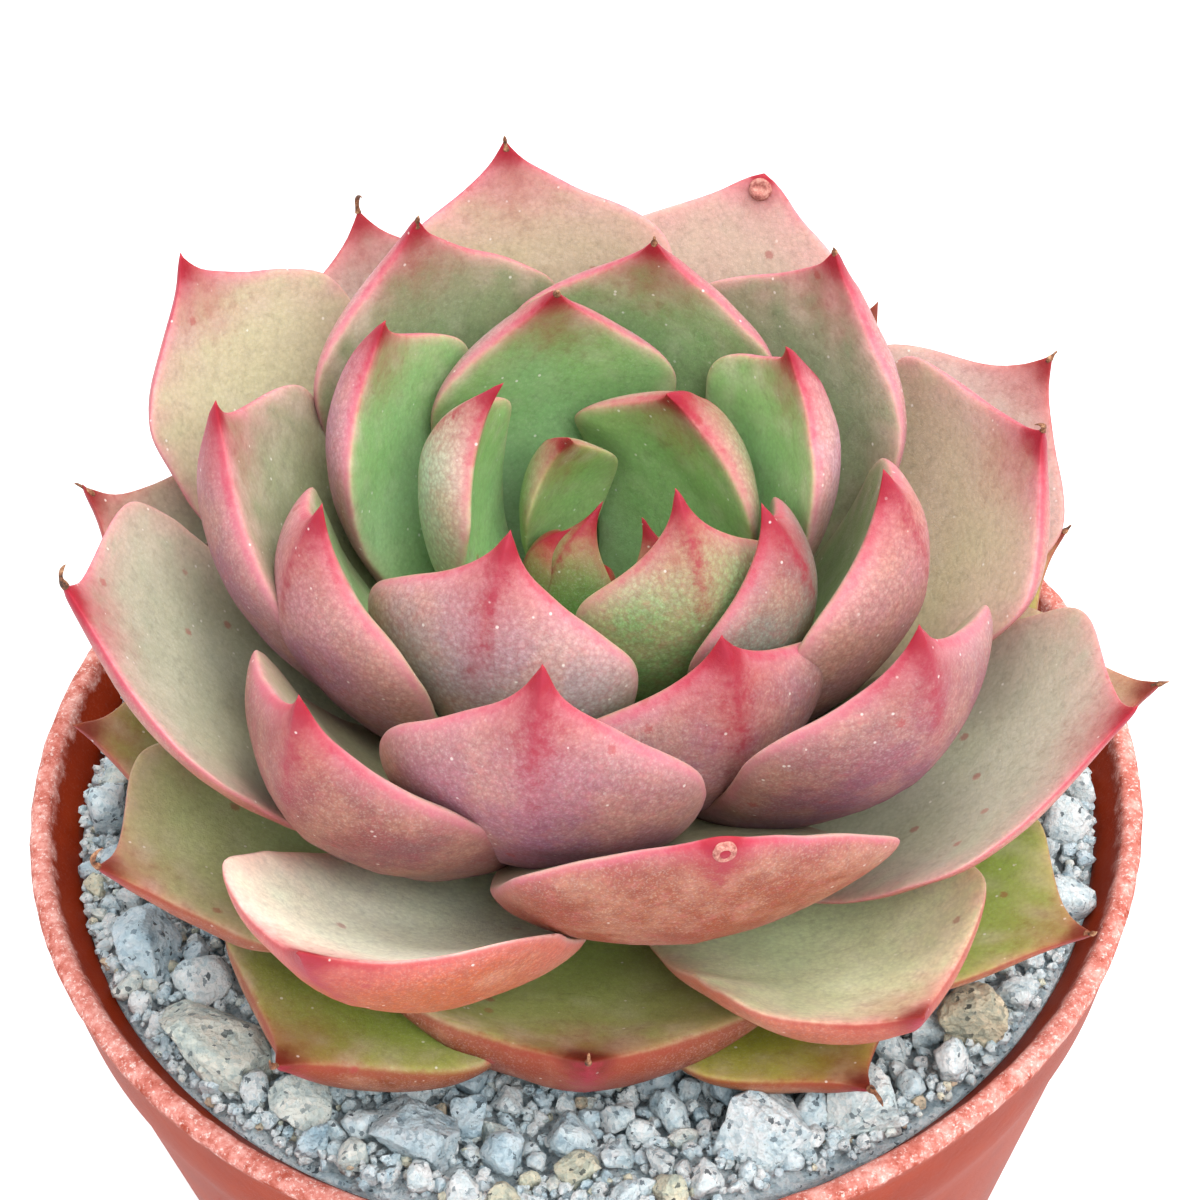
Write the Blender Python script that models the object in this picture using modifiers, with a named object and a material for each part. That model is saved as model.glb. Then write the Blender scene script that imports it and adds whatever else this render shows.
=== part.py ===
"""Potted rosette succulent: a tapered plastic nursery pot, its mix, grit top dressing and one plant.

Metres, +Z up.  The origin is the centre of the pot's flat base, and -Y is the side that is
normally looked at.  The plant is a spiral of thick pointed leaves on one short stem.  The leaves
are numbered from the bud outwards: leaf_01 is the smallest in the bud, leaf_48 the oldest.
"""

import math

import bmesh
import bpy
import numpy as np
from mathutils import Matrix, Vector
from mathutils.bvhtree import BVHTree

MM = 0.001

# Pot, a 9 cm nursery pot
POT_HEIGHT = 75 * MM
RIM_RADIUS = 45 * MM
RIM_LEDGE = 2.8 * MM
RIM_DEPTH = 9 * MM
RIM_STEP = 0.9 * MM
BASE_RADIUS = 31.5 * MM
WALL = 1.4 * MM
FLOOR = 2.0 * MM
DRAIN_HOLES = 4
DRAIN_RADIUS = 4.25 * MM
DRAIN_CIRCLE = 18 * MM
SIDES = 48

# What the pot holds
GAP = 0.3 * MM
SOIL_TOP = 66 * MM
GRIT_TOP = 70.6 * MM
GRIT_HOLE = 5.6 * MM
STEM_DEPTH = 18 * MM
STEM_RADIUS = 3.4 * MM

# The crown leans a little, towards +X and towards -Y
LEAN_RIGHT = 3.6
LEAN_FRONT = 3.8
CROWN_OFFSET = -0.5 * MM

# The spiral of leaves (angles in degrees, lengths in mm, heights above the rim)
BUD_LEAVES = 2
FULL_LEAVES = 46
FIRST_TURN = -51.0
TURN_PER_LEAF = 137.6
REACH_PER_LEAF = 1.53
FULL_REACH = 42.6
BUD_HEIGHT = 29.5
CROWN_HEIGHT = 40.5
FULL_WIDTH = 24.5
CLEARANCE = 0.35

# How single leaves stray from the spiral: number -> (turn, reach, height)
STRAY = {
    0: (0, 1.5, 0.5),
    1: (-25, 2.5, -1.5),
    2: (3, -0.5, 0.5),
    3: (33, 4.5, 3.5),
    4: (-8, 1, -0.5),
    5: (-22, -1, 2.5),
    6: (0, 4.5, 0),
    7: (0, 1, 2),
    8: (2, 0.5, 0),
    9: (5, 1, 1),
    10: (-3, 1.5, 1),
    11: (3, 2, -4.5),
    12: (4, -1, 1),
    13: (-1, 1, 0),
    14: (-1, -1, -0.5),
    15: (0, 0.5, 0.5),
    16: (0, 1, 2.5),
    17: (3, -2, 2),
    18: (2, -1, 1),
    19: (1, 0, 3),
    20: (11, -0.5, 3),
    21: (3, -0.5, 2),
    22: (-1, -0.5, -0.5),
    23: (1, 3, 0),
    24: (1, -2, 1),
    25: (7, -1.5, 1),
    26: (-1, -0.5, 0.5),
    27: (0, 2, -2),
    28: (6, -1.5, -1.5),
    29: (-7, 1.5, -1),
    30: (1, 1, -1.5),
    31: (3, -2.5, -4),
    32: (-2, 1, -6.5),
    33: (2, 0, -6),
    34: (-4, -0.5, -6.5),
    35: (-4, 1.5, -4.5),
    36: (2, -1.5, -5),
    37: (-4, -7, -9),
    38: (6, 1.5, -1),
    39: (1, -3, -8),
    40: (1, 2, -3.5),
    41: (-2, -2.5, -4),
    42: (-1, -1.5, -4.5),
    43: (5, 1, -1.5),
    44: (0, -4.5, -5),
    45: (8, -2, -2.5),
}

for old in list(bpy.data.objects):
    bpy.data.objects.remove(old, do_unlink=True)

parts = bpy.data.collections.new("potted_succulent")
cutters = bpy.data.collections.new("cutters")
bpy.context.scene.collection.children.link(parts)
bpy.context.scene.collection.children.link(cutters)


def material(name, colour, roughness):
    """A plain Principled material."""
    mat = bpy.data.materials.new(name)
    mat.use_nodes = True
    shader = mat.node_tree.nodes["Principled BSDF"]
    shader.inputs["Base Color"].default_value = (*colour, 1.0)
    shader.inputs["Roughness"].default_value = roughness
    shader.inputs["Metallic"].default_value = 0.0
    return mat


TERRACOTTA = material("terracotta_plastic", (0.47, 0.13, 0.07), 0.38)
MIX = material("potting_mix", (0.06, 0.045, 0.035), 0.95)
GRIT = material("granite_grit", (0.62, 0.64, 0.63), 0.8)
STEM = material("stem_flesh", (0.42, 0.45, 0.24), 0.6)
YOUNG = material("young_leaf", (0.27, 0.46, 0.17), 0.45)
MATURE = material("mature_leaf", (0.47, 0.42, 0.31), 0.5)
OLD = material("old_leaf", (0.40, 0.43, 0.15), 0.5)


def add(name, mesh, mat, collection=parts):
    """Put a mesh in a collection as a named object."""
    obj = bpy.data.objects.new(name, mesh)
    collection.objects.link(obj)
    if mat is not None:
        mesh.materials.append(mat)
    if collection is cutters:
        obj.hide_render = True
        obj.display_type = "WIRE"
    return obj


def turned(name, profile, mat, steps=SIDES, collection=parts):
    """A solid turned about Z from an (r, z) outline that runs down its outer side."""
    bm = bmesh.new()
    verts = [bm.verts.new((r, 0.0, z)) for r, z in profile]
    for low, high in zip(verts, verts[1:]):
        bm.edges.new((low, high))
    if profile[0][0] > 1e-9:
        bm.edges.new((verts[-1], verts[0]))
    mesh = bpy.data.meshes.new(name)
    bm.to_mesh(mesh)
    bm.free()
    obj = add(name, mesh, mat, collection)
    screw = obj.modifiers.new("turn", "SCREW")
    screw.axis = "Z"
    screw.angle = math.tau
    screw.steps = steps
    screw.render_steps = steps
    screw.use_merge_vertices = True
    screw.merge_threshold = 0.00001
    return obj


def subtract(obj, cutter):
    """Cut one object by another."""
    cut = obj.modifiers.new("cut_" + cutter.name, "BOOLEAN")
    cut.operation = "DIFFERENCE"
    cut.object = cutter
    cut.solver = "EXACT"


# ---- the pot: flat base, tapered wall, collar with a flat ledge on top
COLLAR_Z = POT_HEIGHT - RIM_DEPTH
COLLAR_LOW = RIM_RADIUS - RIM_STEP
WALL_TOP = COLLAR_LOW - RIM_STEP
INNER_TOP = RIM_RADIUS - RIM_LEDGE
INNER_LOW = WALL_TOP - WALL - 0.4 * MM


def inner_wall(z):
    """Radius of the inside of the pot at height z, below the ledge."""
    low = BASE_RADIUS - WALL
    return low + (INNER_LOW - low) * (z - FLOOR) / (COLLAR_Z - FLOOR)


pot = turned(
    "pot",
    [
        (0.0, FLOOR + 1.0 * MM),
        (BASE_RADIUS - WALL - 1.5 * MM, FLOOR),
        (BASE_RADIUS - WALL, FLOOR + 1.0 * MM),
        (INNER_LOW, COLLAR_Z),
        (INNER_TOP - 0.3 * MM, POT_HEIGHT - 1.2 * MM),
        (INNER_TOP, POT_HEIGHT - 0.4 * MM),
        (INNER_TOP + 0.5 * MM, POT_HEIGHT),
        (RIM_RADIUS - 0.6 * MM, POT_HEIGHT),
        (RIM_RADIUS, POT_HEIGHT - 0.6 * MM),
        (COLLAR_LOW, COLLAR_Z + 0.4 * MM),
        (WALL_TOP, COLLAR_Z - 0.8 * MM),
        (BASE_RADIUS + 0.4 * MM, 1.6 * MM),
        (BASE_RADIUS - 1.0 * MM, 0.0),
        (0.0, 0.0),
    ],
    TERRACOTTA,
)
for number in range(DRAIN_HOLES):
    angle = math.tau * (number + 0.5) / DRAIN_HOLES
    bm = bmesh.new()
    bmesh.ops.create_cone(
        bm,
        cap_ends=True,
        segments=16,
        radius1=DRAIN_RADIUS,
        radius2=DRAIN_RADIUS,
        depth=8 * FLOOR,
    )
    mesh = bpy.data.meshes.new(f"drain_cutter_{number + 1}")
    bm.to_mesh(mesh)
    bm.free()
    drill = add(mesh.name, mesh, None, cutters)
    drill.location = (
        DRAIN_CIRCLE * math.cos(angle),
        DRAIN_CIRCLE * math.sin(angle),
        0.0,
    )
    drill.rotation_euler = (0.0, 0.0, angle + 0.11)
    subtract(pot, drill)

# ---- potting mix, filling the pot; the stem's foot is bored out of it further down
mix = turned(
    "potting_mix",
    [
        (0.0, SOIL_TOP),
        (inner_wall(SOIL_TOP) - GAP, SOIL_TOP),
        (inner_wall(40 * MM) - GAP, 40 * MM),
        (BASE_RADIUS - WALL - GAP, FLOOR + 1.3 * MM),
        (BASE_RADIUS - WALL - 1.4 * MM, FLOOR + 0.5 * MM),
        (0.0, FLOOR + 1.6 * MM),
    ],
    MIX,
)

# ---- grit top dressing: an open ring round the plant, banked up at the wall
turned(
    "grit_layer",
    [
        (GRIT_HOLE, SOIL_TOP + GAP),
        (GRIT_HOLE, GRIT_TOP - 3.2 * MM),
        (18 * MM, GRIT_TOP - 2.2 * MM),
        (32 * MM, GRIT_TOP),
        (INNER_TOP - 2.4 * MM, GRIT_TOP + 0.6 * MM),
        (INNER_TOP - 1.2 * MM, GRIT_TOP - 0.4 * MM),
        (inner_wall(SOIL_TOP) - GAP, SOIL_TOP + GAP),
    ],
    GRIT,
)

# ---- the larger stones that lie on the grit: (name, x, y, length, width, height, turn), mm and degrees
STONES = [
    ("tan_stone", -27.0, -24.0, 10.5, 6.0, 5.0, -30),
    ("blue_stone", -34.0, -15.0, 7.0, 4.6, 4.4, 110),
    ("round_stone", -21.8, -31.0, 4.6, 4.3, 3.8, 0),
    ("grey_stone", -12.8, -34.5, 6.4, 5.0, 4.2, -15),
    ("granite_stone", 11.5, -35.6, 7.2, 6.0, 4.6, 25),
    ("white_stone", 19.8, -32.9, 6.0, 5.4, 4.8, 50),
    ("rusty_stone", 28.4, -25.2, 4.8, 4.4, 4.2, 10),
]
for number, (name, x, y, length, width, height, turn) in enumerate(STONES):
    draw = np.random.default_rng(40 + number)
    bm = bmesh.new()
    bmesh.ops.create_icosphere(bm, subdivisions=2, radius=0.5)
    facets = draw.normal(size=(14, 3))
    facets /= np.linalg.norm(facets, axis=1)[:, None]
    for vert in bm.verts:
        reach = float(np.max(facets @ np.array(vert.co)))
        vert.co *= min(1.0, 0.43 / max(reach, 0.2))
    low = min(v.co.z for v in bm.verts)
    high = max(v.co.z for v in bm.verts)
    for vert in bm.verts:
        vert.co.x *= length * MM / 0.92
        vert.co.y *= width * MM / 0.92
        vert.co.z = (vert.co.z - low) / (high - low) * height * MM
    mesh = bpy.data.meshes.new(name)
    bm.to_mesh(mesh)
    bm.free()
    stone = add(name, mesh, GRIT)
    stone.location = (x * MM, y * MM, GRIT_TOP + 0.6 * MM + GAP)
    stone.rotation_euler = (0.0, 0.0, math.radians(turn))

# ---- the crown: everything that grows shares the leaning parent
crown = bpy.data.objects.new("crown", None)
parts.objects.link(crown)
up = Vector((math.tan(math.radians(LEAN_RIGHT)), -math.tan(math.radians(LEAN_FRONT)), 1.0)).normalized()
across = (Vector((1, 0, 0)) - up * up.x).normalized()
ahead = up.cross(across)
crown.matrix_world = Matrix.Translation((CROWN_OFFSET, 0.0, POT_HEIGHT)) @ Matrix(
    (
        (across.x, ahead.x, up.x),
        (across.y, ahead.y, up.y),
        (across.z, ahead.z, up.z),
    )
).to_4x4()


# ---- the stem: a foot in the mix, then a cone that thins to the growing point
stem = turned(
    "stem",
    [
        (0.0, 16.2 * MM),
        (0.3 * MM, 16.1 * MM),
        (0.9 * MM, 14.5 * MM),
        (1.8 * MM, 11.5 * MM),
        (STEM_RADIUS - 0.6 * MM, 8.0 * MM),
        (STEM_RADIUS, -2.0 * MM),
        (STEM_RADIUS, -STEM_DEPTH + 2 * MM),
        (STEM_RADIUS - 1.2 * MM, -STEM_DEPTH),
        (0.0, -STEM_DEPTH),
    ],
    STEM,
    steps=20,
)
stem.parent = crown
bm = bmesh.new()
bmesh.ops.create_cone(
    bm,
    cap_ends=True,
    segments=20,
    radius1=STEM_RADIUS + GAP,
    radius2=STEM_RADIUS + GAP,
    depth=STEM_DEPTH + GAP,
)
mesh = bpy.data.meshes.new("stem_socket")
bm.to_mesh(mesh)
bm.free()
socket = add("stem_socket", mesh, None, cutters)
socket.parent = crown
socket.location = (0.0, 0.0, -(STEM_DEPTH + GAP) / 2)
subtract(mix, socket)


def leaf_spec(n):
    """Tip, root and width of leaf n, in mm in the crown's frame."""
    turn, more_reach, more_height = STRAY.get(n, (0, 0, 0))
    m = max(n, 0)
    linear = REACH_PER_LEAF * m
    reach = linear / (1 + (linear / FULL_REACH) ** 12) ** (1 / 12)
    height = CROWN_HEIGHT - (CROWN_HEIGHT - BUD_HEIGHT) * math.exp(-m / 3)
    height -= 30 * (max(0, n - 14) / 31) ** 1.4
    if n < 0:
        reach = 0.5
        height = BUD_HEIGHT + 1.2 * n
    return {
        "n": n,
        "azimuth": math.radians(FIRST_TURN + TURN_PER_LEAF * n + turn),
        "reach": reach + more_reach,
        "height": height + more_height,
        "width": FULL_WIDTH * (1 - math.exp(-(n + 2.8) / 7)) - 4.5 * max(0, n - 28) / 17,
        "root_height": 17.5 - 0.9 * (n + BUD_LEAVES) ** 0.78,
        "root_reach": 4.2 * min(1, ((n + 3) / 14) ** 0.6),
        "bend": math.radians(52 - 16 * max(0, n - 20) / 25),
        "cup": 0.07 + 0.09 * math.exp(-m / 10),
    }


def leaf_mesh(spec, name, grow=0.0):
    """One thick leaf, as a ball drawn out along its midrib.

    The poles are the root and the tip.  Along the midrib, an arc that rises more steeply towards
    the tip, the section is a cupped lens: thin margins, a nearly flat upper face and a keeled
    back.  The outline swells from a narrow root to broad shoulders and closes to a sharp point.
    grow makes the same leaf thicker and wider all round, for cutting its neighbours clear.
    """
    bm = bmesh.new()
    bmesh.ops.create_uvsphere(bm, u_segments=10, v_segments=12, radius=1.0)
    ball = np.array([v.co[:] for v in bm.verts])
    along = np.arccos(np.clip(-ball[:, 2], -1, 1)) / math.pi
    around = np.arctan2(ball[:, 1], ball[:, 0])
    pole = np.hypot(ball[:, 0], ball[:, 1]) < 1e-4
    s = along**0.9

    run = spec["reach"] - spec["root_reach"]
    rise = spec["height"] - spec["root_height"]
    chord = math.hypot(run, rise)
    pitch = math.atan2(rise, run)
    bend = spec["bend"]
    radius = chord / (2 * math.sin(bend / 2))
    theta = pitch - bend / 2 + bend * s
    start = pitch - bend / 2
    out = spec["root_reach"] + radius * (np.sin(theta) - math.sin(start))
    high = spec["root_height"] + radius * (math.cos(start) - np.cos(theta))

    half = spec["width"] / 2
    swell = 0.30 + 0.70 * np.sin(math.pi / 2 * np.clip(s / 0.70, 0, 1)) ** 1.25
    close = 1.05 * (np.clip(1 - s, 1e-6, None) / 0.20) ** 1.25
    outline = half * (swell**-5 + close**-5) ** (-1 / 5)
    full = 0.5 * min(4.8, 0.9 + 0.17 * spec["width"])
    thick = full * (0.55 + 0.45 * np.sin(math.pi * s**0.9))
    thick *= 1 - 0.86 * np.clip((s - 0.55) / 0.45, 0, 1) ** 1.6
    thick = np.minimum(thick, 1.25 * outline)

    cosine = np.cos(around)
    sine = np.sin(around)
    side = outline * cosine
    bowl = spec["width"] * spec["cup"] * np.clip(s / 0.7, 0, 1) ** 1.2
    upper = np.clip(sine, 0, None) ** 0.8
    lower = np.clip(-sine, 0, None) ** 0.9
    keel = np.clip((s - 0.3) / 0.5, 0, 1) * (1 - np.abs(cosine)) ** 1.3
    lift = bowl * (side / half) ** 2 + thick * (0.32 * upper - 0.68 * lower)
    lift -= np.where(sine < 0, 0.28 * thick * keel, 0.0)
    side = side + grow * cosine
    lift = lift + grow * sine
    side = np.where(pole, 0.0, side)
    lift = np.where(pole, 0.0, lift)
    end = np.where(pole, np.where(along > 0.5, grow, -grow), 0.0)

    r = out - lift * np.sin(theta) + end * np.cos(theta)
    z = high + lift * np.cos(theta) + end * np.sin(theta)
    az = spec["azimuth"]
    x = r * math.sin(az) + side * math.cos(az)
    y = -r * math.cos(az) + side * math.sin(az)
    for vert, co in zip(bm.verts, np.stack([x, y, z], 1) * MM):
        vert.co = co
    bmesh.ops.recalc_face_normals(bm, faces=bm.faces[:])
    mesh = bpy.data.meshes.new(name)
    bm.to_mesh(mesh)
    bm.free()
    return mesh


def tree_of(mesh):
    """Search tree of a mesh's faces."""
    return BVHTree.FromPolygons([v.co[:] for v in mesh.vertices], [p.vertices[:] for p in mesh.polygons])


# ---- leaves, from the bud outwards; each is hollowed where a younger leaf presses on it
specs = [leaf_spec(n) for n in range(-BUD_LEAVES, FULL_LEAVES)]
grown = []
for index, spec in enumerate(specs):
    n = spec["n"]
    mat = YOUNG if n < 14 else MATURE if n < 34 else OLD
    leaf = add(f"leaf_{index + 1:02d}", leaf_mesh(spec, f"leaf_{index + 1:02d}"), mat)
    leaf.parent = crown
    tree = tree_of(leaf.data)
    for inner in grown:
        if tree.overlap(inner["tree"]):
            if inner["cutter"] is None:
                inner["cutter"] = add(f"clear_of_leaf_{inner['number']:02d}", inner["mesh"], None, cutters)
                inner["cutter"].parent = crown
            subtract(leaf, inner["cutter"])
    mesh = leaf_mesh(spec, f"clear_of_leaf_{index + 1:02d}", CLEARANCE)
    grown.append({"number": index + 1, "mesh": mesh, "tree": tree_of(mesh), "cutter": None})
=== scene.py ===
import math

import bpy
import numpy as np
from mathutils import Matrix, Vector


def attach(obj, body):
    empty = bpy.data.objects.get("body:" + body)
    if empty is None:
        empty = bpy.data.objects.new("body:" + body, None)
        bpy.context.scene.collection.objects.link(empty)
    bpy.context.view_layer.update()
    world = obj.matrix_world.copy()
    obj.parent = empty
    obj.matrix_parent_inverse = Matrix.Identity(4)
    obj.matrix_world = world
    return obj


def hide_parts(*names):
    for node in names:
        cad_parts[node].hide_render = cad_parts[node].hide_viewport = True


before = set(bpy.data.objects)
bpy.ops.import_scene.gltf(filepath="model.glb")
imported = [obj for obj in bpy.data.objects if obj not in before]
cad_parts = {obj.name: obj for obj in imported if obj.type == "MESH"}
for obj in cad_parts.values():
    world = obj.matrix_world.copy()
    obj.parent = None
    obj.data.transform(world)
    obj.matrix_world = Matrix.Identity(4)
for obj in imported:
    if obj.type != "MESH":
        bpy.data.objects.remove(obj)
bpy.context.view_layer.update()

# ---- The pot
# A 9 cm nursery pot of moulded terracotta-coloured plastic: tapered wall, a collar and a flat
# ledge on top that has gone pale and gritty with scuffs.  Its section is turned round Z, and the
# four drainage holes are drilled through the base.

MM = 0.001
RIM_Z = 75.0
RIM_R = 45.0
DRAIN_R = 4.25
DRAIN_CIRCLE = 18.0


def paint(red, green, blue):
    """A colour named by its 0 to 255 screen values, as the linear light that a shader wants."""
    share = np.array([red, green, blue]) / 255.0
    linear = np.where(share <= 0.04045, share / 12.92, ((share + 0.055) / 1.055) ** 2.4)
    return (*[float(v) for v in linear], 1.0)


def soft_hills(points, seed, size, waves=24):
    """Smooth random hills between about -1 and 1: a sum of cosine waves whose directions are
    random and whose wavelengths are near size."""
    draw = np.random.default_rng(seed)
    ways = draw.normal(size=(waves, 3))
    ways /= np.linalg.norm(ways, axis=1)[:, None]
    turns = math.tau / (size * draw.uniform(0.7, 1.6, waves))
    phase = draw.uniform(0, math.tau, waves)
    flat = points.reshape(-1, 3)
    sums = np.cos(flat @ (ways * turns[:, None]).T + phase).sum(axis=1)
    return (sums / math.sqrt(waves / 2)).reshape(points.shape[:-1]) * 0.5


def finished(name, points, faces, skin, node_names=(), smooth=True):
    """Makes a named piece from points in millimetres, and has it ride on the body."""
    mesh = bpy.data.meshes.new(name)
    mesh.from_pydata((points * MM).tolist(), [], faces)
    mesh.materials.append(skin)
    if smooth:
        mesh.shade_smooth()
    mesh.update()
    piece = bpy.data.objects.new(name, mesh)
    bpy.context.scene.collection.objects.link(piece)
    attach(piece, "root")
    if node_names:
        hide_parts(*node_names)
    return piece


def new_finish(name):
    """An empty node material: (material, its nodes, its links, its Principled shader)."""
    made = bpy.data.materials.new(name)
    made.use_nodes = True
    nodes = made.node_tree.nodes
    return made, nodes, made.node_tree.links, nodes["Principled BSDF"]


def grain(nodes, links, size, detail=4.0, rough=0.55, wanted="Fac"):
    """Noise on Object coordinates with features about size millimetres across."""
    place = nodes.new("ShaderNodeTexCoord")
    noise = nodes.new("ShaderNodeTexNoise")
    noise.inputs["Scale"].default_value = 1.0 / (size * MM)
    noise.inputs["Detail"].default_value = detail
    noise.inputs["Roughness"].default_value = rough
    links.new(place.outputs["Object"], noise.inputs["Vector"])
    return noise.outputs[wanted]


def ramp(nodes, links, source, stops):
    """Turns a number into a colour or a grey through named stops (place, colour)."""
    made = nodes.new("ShaderNodeValToRGB")
    stops_in = made.color_ramp.elements
    while len(stops_in) < len(stops):
        stops_in.new(0.5)
    for element, (place, colour) in zip(stops_in, stops):
        element.position = place
        element.color = colour if not np.isscalar(colour) else (colour, colour, colour, 1.0)
    links.new(source, made.inputs["Fac"])
    return made.outputs["Color"]


def colour_mix(nodes, links, how, amount, first, second):
    """Mixes two colours with a Mix node's colour sockets."""
    made = nodes.new("ShaderNodeMix")
    made.data_type = "RGBA"
    made.blend_type = how
    made.clamp_factor = True
    for index, value in ((0, amount), (6, first), (7, second)):
        if isinstance(value, bpy.types.NodeSocket):
            links.new(value, made.inputs[index])
        else:
            made.inputs[index].default_value = value
    return made.outputs[2]


def sums(nodes, links, how, first, second, clamp=False):
    """One Math node."""
    made = nodes.new("ShaderNodeMath")
    made.operation = how
    made.use_clamp = clamp
    for index, value in ((0, first), (1, second)):
        if isinstance(value, bpy.types.NodeSocket):
            links.new(value, made.inputs[index])
        else:
            made.inputs[index].default_value = value
    return made.outputs[0]


def bumped(nodes, links, shader, height, depth, strength=1.0, before=None):
    """Feeds a height into the shader's normal, depth in millimetres."""
    made = nodes.new("ShaderNodeBump")
    made.inputs["Strength"].default_value = strength
    made.inputs["Distance"].default_value = depth * MM
    links.new(height, made.inputs["Height"])
    if before is not None:
        links.new(before, made.inputs["Normal"])
    links.new(made.outputs["Normal"], shader.inputs["Normal"])
    return made.outputs["Normal"]


def ring_faces(rows, columns, closed_rows=False):
    """Quads over a grid whose columns close on themselves."""
    i, j = np.meshgrid(np.arange(rows - (0 if closed_rows else 1)), np.arange(columns), indexing="ij")
    a = i * columns + j
    b = i * columns + (j + 1) % columns
    c = ((i + 1) % rows) * columns + (j + 1) % columns
    d = ((i + 1) % rows) * columns + j
    return np.stack([a, b, c, d], -1).reshape(-1, 4).tolist()


def turned_surface(profile, columns):
    """The profile (r, z) carried round Z: x = r sin(angle), y = -r cos(angle)."""
    angle = np.linspace(0, math.tau, columns, endpoint=False)
    r = profile[:, :1]
    return np.stack([r * np.sin(angle), -r * np.cos(angle), np.repeat(profile[:, 1:], columns, 1)], -1)


def pot_plastic():
    """Satin orange-brown plastic; the ledge is salmon, roughened, and dusted white."""
    made, nodes, links, shader = new_finish("pot_plastic")
    place = nodes.new("ShaderNodeTexCoord")
    split = nodes.new("ShaderNodeSeparateXYZ")
    links.new(place.outputs["Object"], split.inputs[0])
    high = sums(nodes, links, "MULTIPLY", split.outputs["Z"], 1000.0)
    wander = grain(nodes, links, 5.0, 5.0, 0.6)
    streak = grain(nodes, links, 1.4, 6.0, 0.7)
    wall = ramp(
        nodes,
        links,
        wander,
        [(0.25, paint(128, 38, 12)), (0.5, paint(140, 44, 14)), (0.8, paint(152, 54, 22))],
    )
    scuff = ramp(
        nodes,
        links,
        streak,
        [(0.35, paint(164, 80, 66)), (0.5, paint(192, 116, 104)), (0.7, paint(222, 170, 160))],
    )
    edge = sums(
        nodes,
        links,
        "ADD",
        high,
        sums(nodes, links, "MULTIPLY", sums(nodes, links, "SUBTRACT", streak, 0.5), 3.0),
    )
    ledge = nodes.new("ShaderNodeMapRange")
    ledge.inputs["From Min"].default_value = 73.6
    ledge.inputs["From Max"].default_value = 74.5
    links.new(edge, ledge.inputs["Value"])
    base = colour_mix(nodes, links, "MIX", ledge.outputs[0], wall, scuff)
    dust = grain(nodes, links, 0.30, 4.0, 0.7)
    specks = ramp(nodes, links, dust, [(0.54, 0.0), (0.68, 1.0)])
    on_ledge = sums(
        nodes,
        links,
        "MULTIPLY",
        specks,
        sums(nodes, links, "ADD", sums(nodes, links, "MULTIPLY", ledge.outputs[0], 0.7), 0.02),
    )
    base = colour_mix(nodes, links, "MIX", on_ledge, base, paint(244, 226, 218))
    links.new(base, shader.inputs["Base Color"])
    dull = sums(nodes, links, "ADD", sums(nodes, links, "MULTIPLY", ledge.outputs[0], 0.25), 0.42)
    links.new(
        sums(nodes, links, "ADD", dull, sums(nodes, links, "MULTIPLY", wander, 0.1)),
        shader.inputs["Roughness"],
    )
    shader.inputs["Specular IOR Level"].default_value = 0.07
    first = bumped(nodes, links, shader, streak, 0.12, 0.5)
    bumped(nodes, links, shader, specks, 0.04, 0.5, first)
    return made


def section_through(points, spacing):
    """The same open outline with extra points, so that no step is longer than spacing."""
    out = [points[0]]
    for a, b in zip(points, points[1:]):
        steps = max(1, int(math.ceil(math.dist(a, b) / spacing)))
        out += [tuple(np.array(a) + (np.array(b) - np.array(a)) * k / steps) for k in range(1, steps + 1)]
    return np.array(out)


pot_outline = section_through(
    [
        (0.02, 3.0),
        (28.6, 2.0),
        (30.1, 3.0),
        (40.75, 66.0),
        (41.6, 71.5),
        (42.7, 73.0),
        (43.15, 74.2),
        (43.3, 74.7),
        (43.6, 75.0),
        (44.2, 75.0),
        (44.65, 74.85),
        (44.95, 74.4),
        (44.9, 73.9),
        (44.6, 73.4),
        (44.45, 72.6),
        (44.2, 69.0),
        (43.9, 66.6),
        (43.4, 65.0),
        (42.9, 63.0),
        (31.9, 1.8),
        (31.5, 0.7),
        (30.6, 0.0),
        (0.02, 0.0),
    ],
    2.0,
)
pot_points = turned_surface(pot_outline, 288)
near_rim = np.clip((pot_points[..., 2] - 72.0) / 3.0, 0, 1)[..., None]
away = pot_points * [1, 1, 0]
away = away / np.maximum(np.linalg.norm(away, axis=-1, keepdims=True), 1e-6)
wobble = soft_hills(pot_points, 3, 26.0)[..., None] * 0.10 + soft_hills(pot_points, 4, 2.6)[..., None] * 0.07
pot_points = pot_points + near_rim * wobble * away
pot_points[..., 2] += near_rim[..., 0] * (
    soft_hills(pot_points, 5, 30.0) * 0.10 + soft_hills(pot_points, 6, 2.2) * 0.06 - 0.1
)
pot_rows, pot_columns = pot_points.shape[:2]
pot_quads = ring_faces(pot_rows, pot_columns)
pot = finished("nursery_pot", pot_points.reshape(-1, 3), pot_quads, pot_plastic(), ("pot",))


def drilled(piece, places, radius, depth):
    """Bores round holes up through the piece with Boolean cuts, then bakes them into its mesh."""
    drills = []
    for x, y in places:
        bpy.ops.mesh.primitive_cylinder_add(
            vertices=48,
            radius=radius * MM,
            depth=depth * MM,
            location=(x * MM, y * MM, 0),
        )
        drill = bpy.context.object
        drills.append(drill)
        cut = piece.modifiers.new("hole", "BOOLEAN")
        cut.operation = "DIFFERENCE"
        cut.object = drill
        cut.solver = "EXACT"
    shaped = bpy.data.meshes.new_from_object(piece.evaluated_get(bpy.context.evaluated_depsgraph_get()))
    piece.modifiers.clear()
    piece.data = shaped
    for drill in drills:
        bpy.data.objects.remove(drill, do_unlink=True)


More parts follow.
